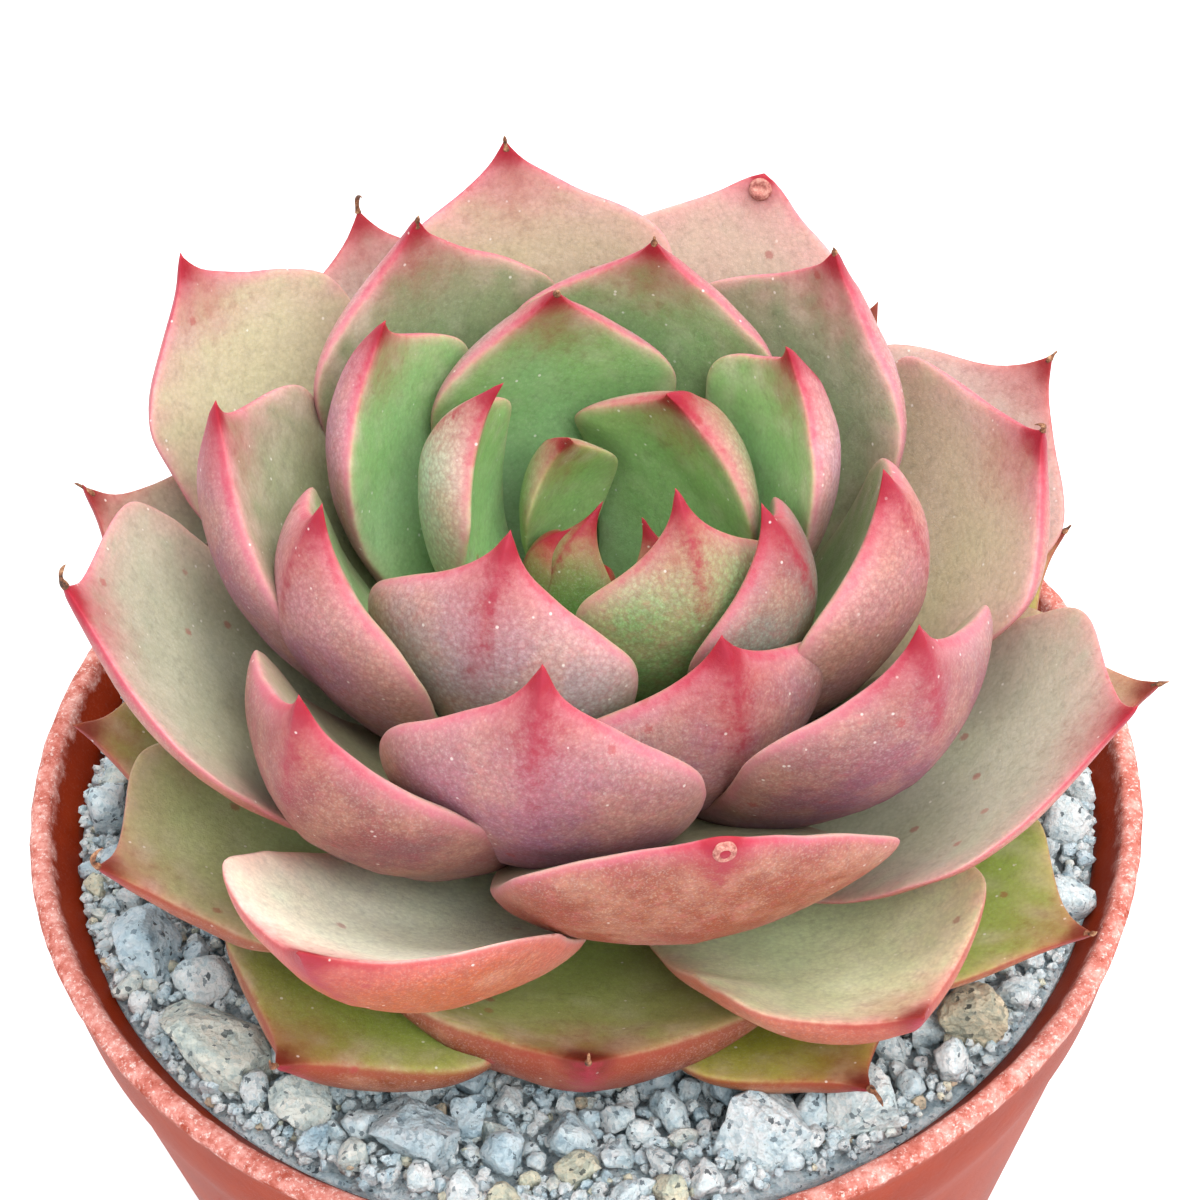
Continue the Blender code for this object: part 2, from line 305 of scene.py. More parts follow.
def close_axis(piece):
    """Shuts the two pin-holes left on the axis by the turned outline."""
    import bmesh

    shell = bmesh.new()
    shell.from_mesh(piece.data)
    bmesh.ops.remove_doubles(
        shell,
        verts=[v for v in shell.verts if math.hypot(v.co.x, v.co.y) < 0.0001],
        dist=0.0001,
    )
    bmesh.ops.recalc_face_normals(shell, faces=shell.faces[:])
    shell.to_mesh(piece.data)
    shell.free()


close_axis(pot)
quarter = [math.tau * (k + 0.5) / 4 for k in range(4)]
drilled(pot, [(DRAIN_CIRCLE * math.cos(a), DRAIN_CIRCLE * math.sin(a)) for a in quarter], DRAIN_R, 16.0)

# ---- The potting mix
# Peat and bark, seen only through the drainage holes.  It keeps its worked-out shape and gets a
# dark crumbly finish.


def crumb():
    """Nearly black brown with paler fibres and a coarse bump."""
    made, nodes, links, shader = new_finish("potting_mix_crumb")
    coarse = grain(nodes, links, 1.8, 8.0, 0.7)
    links.new(
        ramp(
            nodes,
            links,
            coarse,
            [(0.3, paint(28, 20, 15)), (0.55, paint(64, 46, 34)), (0.8, paint(112, 88, 64))],
        ),
        shader.inputs["Base Color"],
    )
    shader.inputs["Roughness"].default_value = 0.95
    bumped(nodes, links, shader, coarse, 0.8)
    return made


mix_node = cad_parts["potting_mix"]
mix_node.material_slots[0].material = crumb()

# ---- The grit
# Crushed pale granite over the mix, from dust up to stones of 10 mm.  A lumpy bed closes the
# gaps; the stones are balls whose faces are sheared off flat and then roughened.

GRIT_INNER = 5.8
GRIT_OUTER = 41.4


def grit_height(x, y):
    """Height of the grit's surface: a little hollow at the plant, banked up in front and at the
    wall, with slow hills."""
    r = np.hypot(x, y)
    base = 70.4 + 1.3 * np.clip((r - 20) / 20, 0, 1) ** 2 + 1.2 * np.clip((-y - 15) / 25, 0, 1)
    return base + 0.7 * soft_hills(np.stack([x, y, 0 * x], -1), 11, 13.0)


def granite(name, fine):
    """Pale granite broken to show its crystals: each crystal is a Voronoi cell with its own milky
    white, glassy grey or black, all tinted by the stone's own colour."""
    made, nodes, links, shader = new_finish(name)
    own = nodes.new("ShaderNodeAttribute")
    own.attribute_name = "stone_tint"
    place = nodes.new("ShaderNodeTexCoord")
    bend = nodes.new("ShaderNodeVectorMath")
    bend.operation = "MULTIPLY_ADD"
    bend.inputs[1].default_value = (0.0007 * fine,) * 3
    links.new(grain(nodes, links, 0.6 * fine, 3.0, 0.6, "Color"), bend.inputs[0])
    links.new(place.outputs["Object"], bend.inputs[2])
    crystals = nodes.new("ShaderNodeTexVoronoi")
    crystals.inputs["Scale"].default_value = 2700.0 / fine
    links.new(bend.outputs[0], crystals.inputs["Vector"])
    each = nodes.new("ShaderNodeSeparateColor")
    links.new(crystals.outputs["Color"], each.inputs[0])
    base = ramp(
        nodes,
        links,
        each.outputs[0],
        [
            (0.00, paint(104, 110, 114)),
            (0.04, paint(176, 186, 192)),
            (0.10, paint(222, 232, 236)),
            (0.40, paint(242, 248, 250)),
            (0.70, paint(252, 254, 253)),
            (1.00, paint(255, 255, 255)),
        ],
    )
    cloud = grain(nodes, links, 2.2 * fine, 6.0, 0.65)
    base = colour_mix(
        nodes,
        links,
        "MULTIPLY",
        0.8,
        base,
        ramp(
            nodes,
            links,
            cloud,
            [(0.34, paint(176, 196, 206)), (0.47, paint(238, 246, 248)), (0.56, 1.0)],
        ),
    )
    mica = ramp(nodes, links, grain(nodes, links, 0.36 * fine, 4.0, 0.6), [(0.29, 1.0), (0.33, 0.0)])
    base = colour_mix(
        nodes,
        links,
        "MIX",
        sums(nodes, links, "MULTIPLY", mica, 0.7),
        base,
        paint(56, 62, 66),
    )
    base = colour_mix(nodes, links, "MULTIPLY", 1.0, base, own.outputs["Color"])
    links.new(base, shader.inputs["Base Color"])
    links.new(ramp(nodes, links, each.outputs[1], [(0.1, 0.30), (0.4, 0.75)]), shader.inputs["Roughness"])
    shader.inputs["Subsurface Weight"].default_value = 0.2
    shader.inputs["Subsurface Radius"].default_value = (1.0, 1.0, 1.0)
    shader.inputs["Subsurface Scale"].default_value = 0.0006
    rough = grain(nodes, links, 0.5 * fine, 6.0, 0.75)
    first = bumped(nodes, links, shader, crystals.outputs["Distance"], 0.35 * fine, 0.8)
    bumped(nodes, links, shader, rough, 0.45 * fine, 0.9, first)
    return made


def ball(level):
    """Vertices and triangles of an icosphere of radius 1."""
    import bmesh

    made = bmesh.new()
    bmesh.ops.create_icosphere(made, subdivisions=level, radius=1.0)
    points = np.array([v.co[:] for v in made.verts])
    faces = np.array([[v.index for v in f.verts] for f in made.faces])
    made.free()
    return points, faces


def broken_stones(seed, count, level, cuts=9, rough=0.05):
    """count stones about 2 across, as (count, vertices, 3).  Each is a ball cut back by random
    planes: a vertex past a plane is dropped onto it; then small hills roughen it."""
    draw = np.random.default_rng(seed)
    points, faces = ball(level)
    stones = np.repeat(points[None], count, 0)
    for _ in range(cuts):
        way = draw.normal(size=(count, 3))
        way /= np.linalg.norm(way, axis=1)[:, None]
        reach = draw.uniform(0.48, 0.84, count)
        over = np.einsum("sva,sa->sv", stones, way) - reach[:, None]
        stones = stones - np.clip(over, 0, None)[..., None] * way[:, None]
    shift = draw.uniform(-50, 50, (count, 1, 3))
    lumps = soft_hills(stones + shift, seed + 1, 0.9) * rough + soft_hills(stones + shift, seed + 2, 0.35) * rough * 0.5
    return stones * (1 + lumps[..., None]), faces


def tumbled(stones, sizes, places, seed):
    """Stretches each stone unevenly, turns it at random, and puts it in its place."""
    draw = np.random.default_rng(seed)
    count = len(stones)
    stretch = draw.uniform(0.72, 1.2, (count, 1, 3))
    quaternions = draw.normal(size=(count, 4))
    quaternions /= np.linalg.norm(quaternions, axis=1)[:, None]
    w, x, y, z = quaternions.T
    turns = np.stack(
        [
            np.stack([1 - 2 * (y * y + z * z), 2 * (x * y - w * z), 2 * (x * z + w * y)], -1),
            np.stack([2 * (x * y + w * z), 1 - 2 * (x * x + z * z), 2 * (y * z - w * x)], -1),
            np.stack([2 * (x * z - w * y), 2 * (y * z + w * x), 1 - 2 * (x * x + y * y)], -1),
        ],
        1,
    )
    turned = np.einsum("sij,svj->svi", turns, stones * stretch)
    return turned * (sizes[:, None, None] / 2) + places[:, None]


def stone_heap(name, stones, faces, tints, skin, node_names=(), smooth=False):
    """Joins many stones in one mesh, each with its own tint."""
    count, each = stones.shape[:2]
    all_faces = (faces[None] + (np.arange(count) * each)[:, None, None]).reshape(-1, 3)
    piece = finished(name, stones.reshape(-1, 3), all_faces.tolist(), skin, node_names, smooth)
    colours = piece.data.attributes.new("stone_tint", "FLOAT_COLOR", "POINT")
    rgba = np.ones((count, each, 4))
    rgba[..., :3] = tints[:, None]
    colours.data.foreach_set("color", rgba.reshape(-1))
    return piece


TINTS = np.array(
    [
        paint(255, 255, 253)[:3],
        paint(244, 251, 253)[:3],
        paint(228, 240, 246)[:3],
        paint(253, 250, 240)[:3],
        paint(248, 236, 208)[:3],
        paint(230, 200, 170)[:3],
    ]
)
TINT_SHARE = [0.40, 0.28, 0.16, 0.10, 0.045, 0.015]

bed_r = np.linspace(GRIT_INNER, GRIT_OUTER, 60)
bed_a = np.linspace(0, math.tau, 240, endpoint=False)
bed_x = bed_r[:, None] * np.sin(bed_a)
bed_y = -bed_r[:, None] * np.cos(bed_a)
bed_z = grit_height(bed_x, bed_y) - 1.1 + 0.45 * soft_hills(
    np.stack([bed_x, bed_y, 0 * bed_x], -1),
    12,
    1.6,
)
under = np.stack([bed_x[::-1], bed_y[::-1], np.full_like(bed_z, 67.5)], -1)
bed_points = np.concatenate([np.stack([bed_x, bed_y, bed_z], -1), under], 0)
bed_faces = ring_faces(len(bed_points), 240, closed_rows=True)
grit_dark = granite("granite_dust", 0.7)
bed = finished("grit_bed", bed_points.reshape(-1, 3), bed_faces, grit_dark, ("grit_layer",))
bed_tint = bed.data.attributes.new("stone_tint", "FLOAT_COLOR", "POINT")
bed_tint.data.foreach_set("color", np.tile([0.90, 0.95, 0.97, 1.0], len(bed.data.vertices)))


def scattered(seed, tries, low, high, taken, inner=9.0, crowd=0.42):
    """Places for stones of low to high millimetres: thrown at random on the grit, and kept where
    they don't sit on one that is already there.  taken holds (x, y, size) rows."""
    draw = np.random.default_rng(seed)
    kept = []
    for _ in range(tries):
        size = low + (high - low) * draw.random() ** 1.6
        r = math.sqrt(draw.uniform(inner**2, (GRIT_OUTER - size * 0.32) ** 2))
        a = draw.uniform(0, math.tau)
        x, y = r * math.sin(a), -r * math.cos(a)
        if len(taken) and (np.hypot(taken[:, 0] - x, taken[:, 1] - y) < crowd * (taken[:, 2] + size)).any():
            continue
        taken = np.vstack([taken, (x, y, size)])
        kept.append((x, y, size))
    return np.array(kept), taken


# The seven largest stones: name, x, y, length, width, height, turn about Z, tint
BIG = [
    ("tan_stone", -28.6, -24.6, 11.4, 6.8, 5.6, -32, paint(244, 240, 226)),
    ("blue_stone", -34.2, -15.2, 7.4, 5.4, 5.0, 100, paint(232, 244, 250)),
    ("round_stone", -21.8, -31.0, 4.8, 4.6, 4.2, 0, paint(244, 242, 232)),
    ("grey_stone", -12.8, -34.3, 6.8, 5.4, 4.4, -15, paint(216, 224, 228)),
    ("granite_stone", 11.6, -34.8, 7.4, 6.6, 5.4, 25, paint(250, 253, 253)),
    ("white_stone", 19.9, -33.2, 6.4, 5.8, 5.2, 50, paint(255, 255, 250)),
    ("rusty_stone", 28.8, -26.0, 5.0, 4.6, 4.6, 10, paint(238, 216, 184)),
]
granite_skin = granite("granite", 1.0)
taken = np.zeros((0, 3))
for number, (name, x, y, length, width, height, turn, tint) in enumerate(BIG):
    lump, faces = broken_stones(60 + number, 1, 5, 12, 0.045)
    lump = lump[0] / np.ptp(lump[0], axis=0) * [length, width, height]
    lump += (soft_hills(lump, 80 + number, 0.8) * 0.10)[:, None] * lump / np.linalg.norm(lump, axis=1)[
        :,
        None,
    ]
    c, s = math.cos(math.radians(turn)), math.sin(math.radians(turn))
    lump = lump @ np.array([[c, s, 0], [-s, c, 0], [0, 0, 1.0]])
    lump += [x, y, float(grit_height(np.array(x), np.array(y))) + 0.28 * height]
    stone_heap(name + "_piece", lump[None], faces, np.array([tint[:3]]), granite_skin, (name,), smooth=True)
    taken = np.vstack([taken, (x, y, (length + width) / 2)])

draw = np.random.default_rng(21)
coarse, taken = scattered(22, 2500, 2.6, 5.4, taken, crowd=0.40)
lumps, faces = broken_stones(23, len(coarse), 3, 12, 0.12)
places = np.column_stack([coarse[:, :2], grit_height(coarse[:, 0], coarse[:, 1]) + 0.24 * coarse[:, 2]])
tints = TINTS[draw.choice(6, len(coarse), p=TINT_SHARE)]
half = len(coarse) // 2
lumps = tumbled(lumps, coarse[:, 2], places, 24)
stone_heap("coarse_grit_a", lumps[:half], faces, tints[:half], granite_skin, (), smooth=True)
stone_heap("coarse_grit_b", lumps[half:], faces, tints[half:], granite_skin, (), smooth=True)

middling, taken = scattered(25, 9000, 1.1, 2.8, taken, crowd=0.33)
lumps, faces = broken_stones(26, len(middling), 2, 8, 0.07)
places = np.column_stack(
    [middling[:, :2], grit_height(middling[:, 0], middling[:, 1]) + 0.15 * middling[:, 2]]
)
tints = TINTS[draw.choice(6, len(middling), p=TINT_SHARE)]
lumps = tumbled(lumps, middling[:, 2], places, 27)
stone_heap("middling_grit", lumps, faces, tints, granite("granite_fine", 0.75), (), smooth=False)

crumbs = np.random.default_rng(28)
CRUMBS = 6600
crumb_r = np.sqrt(crumbs.uniform(14.0**2, (GRIT_OUTER - 0.2) ** 2, CRUMBS))
crumb_r[:1400] = crumbs.uniform(38.5, GRIT_OUTER - 0.1, 1400)
crumb_a = crumbs.uniform(0, math.tau, CRUMBS)
crumb_x, crumb_y = crumb_r * np.sin(crumb_a), -crumb_r * np.cos(crumb_a)
crumb_size = crumbs.uniform(0.5, 1.3, CRUMBS)
lumps, faces = broken_stones(29, CRUMBS, 1, 6, 0.03)
places = np.column_stack(
    [crumb_x, crumb_y, grit_height(crumb_x, crumb_y) + crumbs.uniform(-0.5, 0.6, CRUMBS)]
)
tints = TINTS[crumbs.choice(6, CRUMBS, p=TINT_SHARE)]
stone_heap(
    "grit_crumbs",
    tumbled(lumps, crumb_size, places, 30),
    faces,
    tints,
    granite("granite_crumb", 0.6),
    (),
)

# ---- The stem
# A short fleshy stem, hidden by the leaves that it carries.  It keeps its worked-out shape.


def stem_flesh():
    """Dull olive with brown scars."""
    made, nodes, links, shader = new_finish("stem_flesh")
    scars = grain(nodes, links, 1.5, 5.0, 0.6)
    links.new(
        ramp(
            nodes,
            links,
            scars,
            [(0.35, paint(104, 84, 54)), (0.55, paint(140, 142, 84)), (0.75, paint(164, 164, 110))],
        ),
        shader.inputs["Base Color"],
    )
    shader.inputs["Roughness"].default_value = 0.7
    bumped(nodes, links, shader, scars, 0.3)
    return made


stem_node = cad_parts["stem"]
stem_node.material_slots[0].material = stem_flesh()

# ---- The leaves
# One thick pointed leaf after another on a golden-angle spiral, numbered from the bud outwards.
# Each is a cupped lens carried along a rising midrib, with thin coloured margins, a keeled back
# and a sharp tip.  Young leaves are green, outer ones flushed pink, the oldest yellow-green.

LEAN_RIGHT = 3.6
LEAN_FRONT = 3.8
CROWN_X = -0.5
BUD_LEAVES = 2
FIRST_TURN = -51.0
TURN_PER_LEAF = 137.6
REACH_PER_LEAF = 1.53
FULL_REACH = 42.6
BUD_HEIGHT = 29.5
CROWN_HEIGHT = 40.5
FULL_WIDTH = 24.5

# number -> how the leaf strays: turn (degrees), reach and height of its tip (mm)
STRAY = {
    -2: (0, 0, -1.5),
    -1: (100, 0.8, -0.5),
    0: (0, -1.2, 0.5),
    1: (-25, 2.5, -1.5),
    2: (-3, -0.5, 0.3),
    3: (33, 4.5, 3.5),
    4: (-8, 1, -0.5),
    5: (-22, -1, 2.5),
    6: (0, 4.5, 0),
    7: (0, 1, 1.4),
    8: (2, 0.5, 0),
    9: (5, 1, 1),
    10: (-3, 1.5, 1),
    11: (3, 2, -4.5),
    12: (4, -1, 1),
    13: (-1, 1, 0),
    14: (-1, -1, -0.5),
    15: (0, 0.5, 0.5),
    16: (0, 1, 2.5),
    17: (3, -2, 2),
    18: (2, -1, 1),
    19: (1, 0, 3),
    20: (11, -0.5, 3),
    21: (3, -0.5, 2),
    22: (-1, -0.5, -0.5),
    23: (1, 3, 0),
    24: (1, -2, 1),
    25: (7, -1.5, 1),
    26: (-1, -0.5, 0.5),
    27: (0, 2, -2),
    28: (6, -1.5, -1.5),
    29: (-7, 1.5, -1),
    30: (1, 1, -1.5),
    31: (3, -2.5, -4),
    32: (-2, 1, -6.5),
    33: (2, 0, -6),
    34: (-4, -0.5, -6.5),
    35: (-4, 1.5, -4.5),
    36: (2, -1.5, -5),
    37: (-1, -7, -9),
    38: (6, 1.5, -1),
    39: (1, -3, -8),
    40: (1, 2, -3.5),
    41: (-2, -2.5, -4),
    42: (-1, -1.5, -4.5),
    43: (5, 1, -1.5),
    44: (0, -4.5, -5),
    45: (8, -2, -2.5),
}
# number -> what else is the leaf's own.  wide and thick are shares of the usual; point is the
# length of the closing tip as a share of the leaf; blunt is a tip that was lost; bend, roll
# (degrees) and cup shape the blade, sway (mm) bows it sideways; its colour scale is partly the
# leaf's own tone and partly painted light, raised on leaves that sit shaded and lowered as painted
# shadow on leaves turned away from the light; rosy is how much pink its upper face has.
HABIT = {
    0: {"point": 0.4, "bend": 52},
    1: {"point": 0.4, "bend": 52},
    2: {"wide": 0.8, "point": 0.3, "bend": 62, "sway": -2},
    3: {"wide": 1.18, "point": 0.3, "cup": 0.12, "roll": -18},
    4: {"wide": 1.18, "point": 0.26, "roll": 8},
    5: {"wide": 0.86, "point": 0.28, "bend": 72, "roll": 3, "tone_and_painted_light": 1.35},
    6: {"wide": 0.96, "roll": 16, "tone_and_painted_light": 0.55},
    7: {"wide": 1.06, "point": 0.26, "tone_and_painted_light": 0.92},
    8: {"wide": 1.08, "point": 0.26, "cup": 0.04, "roll": 9, "tone_and_painted_light": 1.05},
    9: {"wide": 0.86, "bend": 74, "tone_and_painted_light": 1.3},
    10: {"wide": 0.88, "bend": 70, "tone_and_painted_light": 1.05},
    11: {"wide": 1.04, "cup": 0.1, "tone_and_painted_light": 0.74},
    12: {"tone_and_painted_light": 0.95},
    13: {"wide": 0.9, "bend": 70, "roll": -4, "tone_and_painted_light": 1.05},
    14: {"wide": 0.93, "roll": -8, "tone_and_painted_light": 1.12},
    16: {"wide": 0.98, "cup": 0.02, "tone_and_painted_light": 0.92},
    17: {"tone_and_painted_light": 1.15},
    18: {"bend": 58},
    19: {"cup": 0.1, "roll": -8, "sway": 2.2, "tone_and_painted_light": 0.92},
    20: {"point": 0.18, "sway": -1.6, "thick": 0.8, "tone_and_painted_light": 1.08, "rosy": 0.15},
    21: {"wide": 0.94, "cup": 0.15, "roll": -7, "tone_and_painted_light": 0.78},
    22: {"wide": 1.12, "point": 0.15, "roll": 10, "sway": 3.0, "tone_and_painted_light": 1.0, "rosy": 0.2},
    23: {"wide": 0.96, "point": 0.17, "thick": 0.8, "tone_and_painted_light": 0.88},
    24: {
        "wide": 1.12,
        "point": 0.12,
        "blunt": True,
        "bend": 50,
        "cup": -0.01,
        "roll": -5,
        "thick": 1.08,
        "tone_and_painted_light": 0.78,
    },
    25: {"wide": 1.02, "point": 0.17, "blunt": True, "thick": 0.8, "tone_and_painted_light": 1.2, "rosy": 0.5},
    26: {"wide": 1.15, "point": 0.17, "bend": 50, "sway": 1.5, "thick": 0.6, "tone_and_painted_light": 0.92},
    27: {"wide": 1.15, "point": 0.17, "bend": 50, "sway": -2.2, "thick": 0.5, "tone_and_painted_light": 0.92, "rosy": 0.1},
    28: {"wide": 1.1, "point": 0.18, "rosy": 0.2},
    29: {
        "wide": 0.92,
        "point": 0.14,
        "bend": 54,
        "cup": 0.2,
        "roll": 10,
        "sway": 2.5,
        "thick": 0.8,
        "tone_and_painted_light": 1.5,
    },
    30: {"wide": 1.05, "point": 0.18, "roll": 6, "sway": 0.3, "thick": 0.7, "tone_and_painted_light": 0.98, "rosy": 0.45},
    31: {"thick": 0.7},
    32: {
        "wide": 0.95,
        "point": 0.14,
        "bend": 52,
        "cup": 0.22,
        "roll": -2,
        "sway": 1.5,
        "thick": 0.85,
        "tone_and_painted_light": 1.3,
    },
    34: {"thick": 0.7, "tone_and_painted_light": 1.0},
    35: {"thick": 0.7, "rosy": 0.35},
    37: {"wide": 1.38, "point": 0.18, "bend": 62, "cup": 0.12, "thick": 1.1, "tone_and_painted_light": 1.05},
    38: {"thick": 0.7, "tone_and_painted_light": 0.9},
    39: {"thick": 0.7},
    40: {"thick": 0.6, "tone_and_painted_light": 1.2},
    42: {"wide": 1.16, "thick": 1.2, "tone_and_painted_light": 0.9},
    43: {"thick": 0.7},
    45: {"thick": 0.9},
}

ROWS = 76
COLUMNS = 60
crown_up = np.array([math.tan(math.radians(LEAN_RIGHT)), -math.tan(math.radians(LEAN_FRONT)), 1.0])
crown_up /= np.linalg.norm(crown_up)
crown_across = np.array([1.0, 0.0, 0.0]) - crown_up * crown_up[0]
crown_across /= np.linalg.norm(crown_across)
CROWN = np.stack([crown_across, np.cross(crown_up, crown_across), crown_up], 1)


def leaf_lines(n):
    """Where leaf n's root and tip are, and how wide it is, in mm in the crown's own frame."""
    turn, more_reach, more_height = STRAY.get(n, (0, 0, 0))
    m = max(n, 0)
    linear = REACH_PER_LEAF * m
    reach = linear / (1 + (linear / FULL_REACH) ** 12) ** (1 / 12)
    height = CROWN_HEIGHT - (CROWN_HEIGHT - BUD_HEIGHT) * math.exp(-m / 3)
    height -= 30 * (max(0, n - 14) / 31) ** 1.4
    if n < 0:
        reach, height = 0.5, BUD_HEIGHT + 1.2 * n
    own = HABIT.get(n, {})
    return {
        "azimuth": math.radians(FIRST_TURN + TURN_PER_LEAF * n + turn),
        "reach": reach + more_reach,
        "height": height + more_height,
        "width": (FULL_WIDTH * (1 - math.exp(-(n + 2.8) / 7)) - 4.5 * max(0, n - 28) / 17) * own.get(
            "wide",
            1.0,
        ),
        "root_height": 17.5 - 0.9 * (n + BUD_LEAVES) ** 0.78,
        "root_reach": 4.2 * min(1, ((n + 3) / 14) ** 0.6),
        "bend": math.radians(own.get("bend", 80 - 40 * min(1, max(0, n - 15) / 22))),
        "cup": own.get("cup", 0.10 + 0.07 * math.exp(-m / 10)),
        "point": own.get("point", 0.22),
        "roll": math.radians(own.get("roll", 0.0)),
        "thick": own.get("thick", 1.0),
        "sway": own.get("sway", 0.0),
        "tone_and_painted_light": own.get("tone_and_painted_light", 1.0),
        "rosy": own.get("rosy", 0.0),
        "blunt": own.get("blunt", False),
    }


def leaf_form(n):
    """The leaf's surface on a grid of (place along the midrib, place round the section).

    The midrib is a circular arc from root to tip.  Half the width swells as a sine to the
    shoulders at 0.72 of the length and closes as a power of what is left, so the tip is drawn
    out to a point.  Round the section the upper face is nearly flat and the back is deeper, with
    a keel near the tip; both sag towards the margins as a bowl, as the square of the distance
    from the midrib.  The blade bows sideways as a half sine of the length, and a blunt leaf
    closes in a round end."""
    line = leaf_lines(n)
    draw = np.random.default_rng(500 + n)
    s = (np.linspace(0, 1, ROWS + 1)[1:-1] ** 0.92)[:, None]
    around = np.linspace(0, math.tau, COLUMNS, endpoint=False)[None]
    run = line["reach"] - line["root_reach"]
    rise = line["height"] - line["root_height"]
    chord = math.hypot(run, rise)
    pitch = math.atan2(rise, run)
    radius = chord / (2 * math.sin(line["bend"] / 2))
    start = pitch - line["bend"] / 2
    half = line["width"] / 2
    full = min(6.0, 0.8 + 0.24 * line["width"]) * line["thick"]

    def midrib(t):
        theta = start + line["bend"] * t
        out = line["root_reach"] + radius * (np.sin(theta) - math.sin(start))
        high = line["root_height"] + radius * (math.cos(start) - np.cos(theta))
        return theta, out, high

    theta, out, high = midrib(s)
    swell = 0.30 + 0.70 * np.sin(math.pi / 2 * np.clip(s / 0.72, 0, 1)) ** 1.25
    left = np.clip(1 - s, 1e-6, None)
    close = (left / line["point"]) ** 1.9 + 0.03 * np.clip(left / 0.03, 0, 1)
    if line["blunt"]:
        close = (left / line["point"]) ** 1.5 + 0.10 * np.sqrt(np.clip(left / 0.03, 0, 1))
    share = (swell**-4.5 + close**-4.5) ** (-1 / 4.5)
    outline = half * share
    thick = full * (0.55 + 0.45 * np.sin(math.pi * s**0.9))
    thick = thick * (1 - 0.80 * np.clip((s - 0.66) / 0.34, 0, 1) ** 1.8)
    thick = thick * (1 - np.exp(-1.9 * outline / np.maximum(thick, 0.1)))

    cosine = np.cos(around)
    sine = np.sin(around)
    wave = 0.10 * np.sin(s * 9 + draw.uniform(0, 6)) + 0.06 * np.sin(s * 19 + draw.uniform(0, 6))
    side = outline * cosine * (1 + 0.05 * wave * np.sign(cosine))
    bowl = line["width"] * line["cup"] * np.clip(s / 0.7, 0, 1) ** 1.2
    upper = np.clip(sine, 0, None) ** 0.8
    lower = np.clip(-sine, 0, None) ** 1.15
    keel = np.clip((s - 0.3) / 0.5, 0, 1) * (1 - np.abs(cosine)) ** 1.3
    lift = bowl * (side / half) ** 2 + thick * (0.22 * upper - 0.78 * lower)
    lift = lift - np.where(sine < 0, 0.20 * thick * keel, 0.0)
    lift = lift + 0.35 * wave * np.abs(cosine) ** 2 * np.clip(s * 2, 0, 1) * half / 12

    side = side + line["sway"] * np.sin(math.pi * s)

    roll = line["roll"] * s
    side, lift = side * np.cos(roll) - lift * np.sin(roll), side * np.sin(roll) + lift * np.cos(roll)

    def stood(theta, out, high, side, lift):
        r = out - lift * np.sin(theta)
        z = high + lift * np.cos(theta)
        az = line["azimuth"]
        x = r * math.sin(az) + side * math.cos(az)
        y = -r * math.cos(az) + side * math.sin(az)
        return np.stack(np.broadcast_arrays(x, y, z), -1) @ CROWN.T + [CROWN_X, 0.0, RIM_Z]

    body = stood(theta, out, high, side, lift)
    ends = [stood(*midrib(t), 0.0, 0.0).reshape(1, 3) for t in (0.0, 1.0)]
    body = body + 0.06 * soft_hills(body, 700 + n, 5.0)[..., None]
    slope = np.gradient(outline[:, 0], s[:, 0] * radius * line["bend"])[:, None]
    margin = (outline - np.abs(outline * cosine)) / np.sqrt(1 + slope**2)
    fields = {
        "along": np.broadcast_to(s, margin.shape),
        "across": np.broadcast_to(cosine, margin.shape) * share,
        "face": np.broadcast_to(sine, margin.shape),
        "margin": margin,
        "to_tip": np.hypot((1 - s) * radius * line["bend"], 0.7 * outline * cosine) * (
            2.2 if line["blunt"] else 1.0
        ),
    }
    return body, ends, fields


def leaf_faces(rows, columns):
    """Quads over the rings, and a fan of triangles at the root and at the tip."""
    quads = [[q[3], q[2], q[1], q[0]] for q in ring_faces(rows, columns)]
    root, tip = rows * columns, rows * columns + 1
    last = (rows - 1) * columns
    fans = [[root, (j + 1) % columns, j][::-1] for j in range(columns)]
    fans += [[tip, last + j, last + (j + 1) % columns][::-1] for j in range(columns)]
    return quads + fans


def blend(a, b, t):
    """Between two colours, as arrays."""
    t = np.clip(t, 0, 1)[..., None]
    return a * (1 - t) + b * t


def tone(*rgb):
    """paint() as an array of three."""
    return np.array(paint(*rgb)[:3])


# Skin colours from the youngest leaf to the oldest.  Each row is a paint, and where the skin came
# out too light or too dull with it, the share of its red, green and blue light that is kept.
AGES = [-2, 3, 6, 10, 14, 17, 20, 23, 26, 30, 33, 37, 41, 45]
FACE_MIDDLE = [
    (150, 190, 96, 0.82, 1.01, 0.82),
    (156, 190, 112, 0.67, 0.83, 0.67),
    (158, 194, 122, 0.57, 0.73, 0.60),
    (164, 194, 132, 0.61, 0.80, 0.66),
    (176, 184, 134, 0.44, 0.58, 0.49),
    (184, 190, 146, 0.45, 0.57, 0.53),
    (214, 190, 158, 0.67, 0.81, 0.76),
    (220, 206, 166, 0.81, 0.87, 0.87),
    (206, 194, 160, 0.71, 0.83, 0.90),
    (184, 192, 168, 1.16, 1.11, 1.16),
    (188, 198, 142),
    (150, 164, 92),
    (138, 166, 70),
    (172, 160, 66, 0.84, 1.06, 0.66),
]
